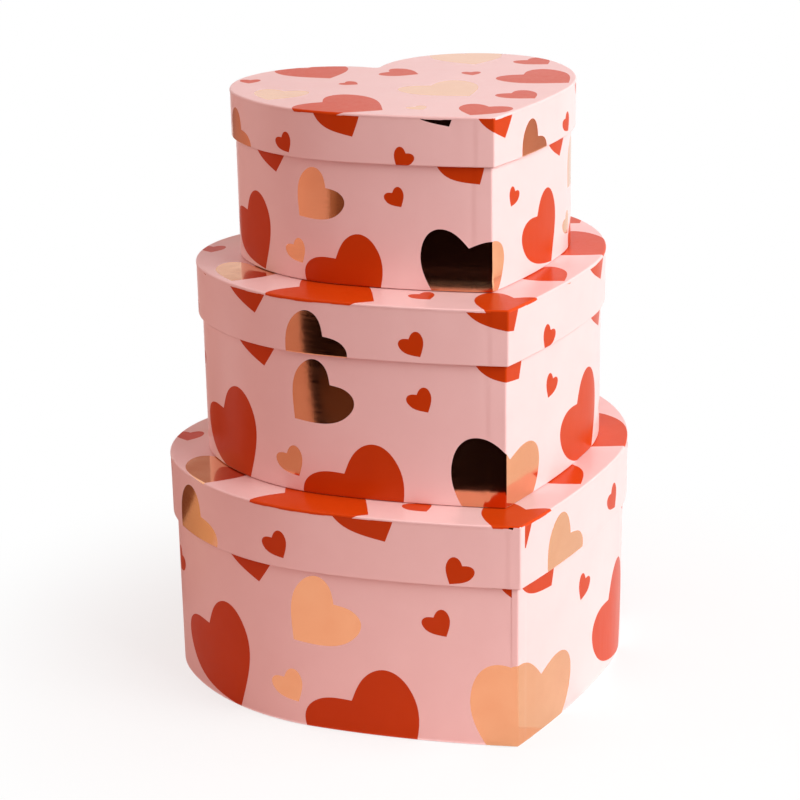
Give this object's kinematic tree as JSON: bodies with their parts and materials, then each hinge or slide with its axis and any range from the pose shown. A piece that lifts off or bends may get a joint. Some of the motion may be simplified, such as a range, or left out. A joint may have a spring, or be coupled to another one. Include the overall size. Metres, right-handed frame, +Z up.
{
  "type": "heart-shaped nesting gift box set",
  "caption": "Heart-shaped paper-covered gift boxes that nest, stacked as a tower with the largest below; each has a lift-off lid over a lined base for holding gifts.",
  "frame": {"origin": "on the ground, under the middle of the large box's lid outline", "axes": "+Z up through the tower; the hearts point along -Y and their lobes lie side by side along X"},
  "size_m": [0.2504, 0.2232, 0.3112],
  "materials": {
    "printed_paper": "satin",
    "plain_paper": "matte",
    "greyboard": "matte",
    "kraft_tape": "satin"
  },
  "bodies": {
    "large_base": {"large_base_wall_board": "greyboard", "large_base_floor_board": "greyboard", "large_base_tip_stay": "kraft_tape", "large_base_wrap": "printed_paper", "large_base_bottom_sheet": "plain_paper", "large_base_wall_lining": "plain_paper", "large_base_floor_lining": "plain_paper"},
    "large_lid": {"large_lid_rim_board": "greyboard", "large_lid_top_board": "greyboard", "large_lid_tip_stay": "kraft_tape", "large_lid_rim_wrap": "printed_paper", "large_lid_top_sheet": "printed_paper", "large_lid_rim_lining": "plain_paper", "large_lid_top_lining": "plain_paper"},
    "medium_base": {"medium_base_wall_board": "greyboard", "medium_base_floor_board": "greyboard", "medium_base_tip_stay": "kraft_tape", "medium_base_wrap": "printed_paper", "medium_base_bottom_sheet": "plain_paper", "medium_base_wall_lining": "plain_paper", "medium_base_floor_lining": "plain_paper"},
    "medium_lid": {"medium_lid_rim_board": "greyboard", "medium_lid_top_board": "greyboard", "medium_lid_tip_stay": "kraft_tape", "medium_lid_rim_wrap": "printed_paper", "medium_lid_top_sheet": "printed_paper", "medium_lid_rim_lining": "plain_paper", "medium_lid_top_lining": "plain_paper"},
    "small_base": {"small_base_wall_board": "greyboard", "small_base_floor_board": "greyboard", "small_base_tip_stay": "kraft_tape", "small_base_wrap": "printed_paper", "small_base_bottom_sheet": "plain_paper", "small_base_wall_lining": "plain_paper", "small_base_floor_lining": "plain_paper"},
    "small_lid": {"small_lid_rim_board": "greyboard", "small_lid_top_board": "greyboard", "small_lid_tip_stay": "kraft_tape", "small_lid_rim_wrap": "printed_paper", "small_lid_top_sheet": "printed_paper", "small_lid_rim_lining": "plain_paper", "small_lid_top_lining": "plain_paper"}
  },
  "joints": [
    {"name": "large_lid_lift", "type": "slide", "parent": "large_base", "child": "large_lid", "axis": [0, 0, 1], "range_m": [0, 0.11]},
    {"name": "medium_box_lift", "type": "slide", "parent": "large_lid", "child": "medium_base", "axis": [0, 0, 1], "range_m": [0, 0.06]},
    {"name": "medium_lid_lift", "type": "slide", "parent": "medium_base", "child": "medium_lid", "axis": [0, 0, 1], "range_m": [0, 0.09]},
    {"name": "small_box_lift", "type": "slide", "parent": "medium_lid", "child": "small_base", "axis": [0, 0, 1], "range_m": [0, 0.06]},
    {"name": "small_lid_lift", "type": "slide", "parent": "small_base", "child": "small_lid", "axis": [0, 0, 1], "range_m": [0, 0.08]}
  ]
}
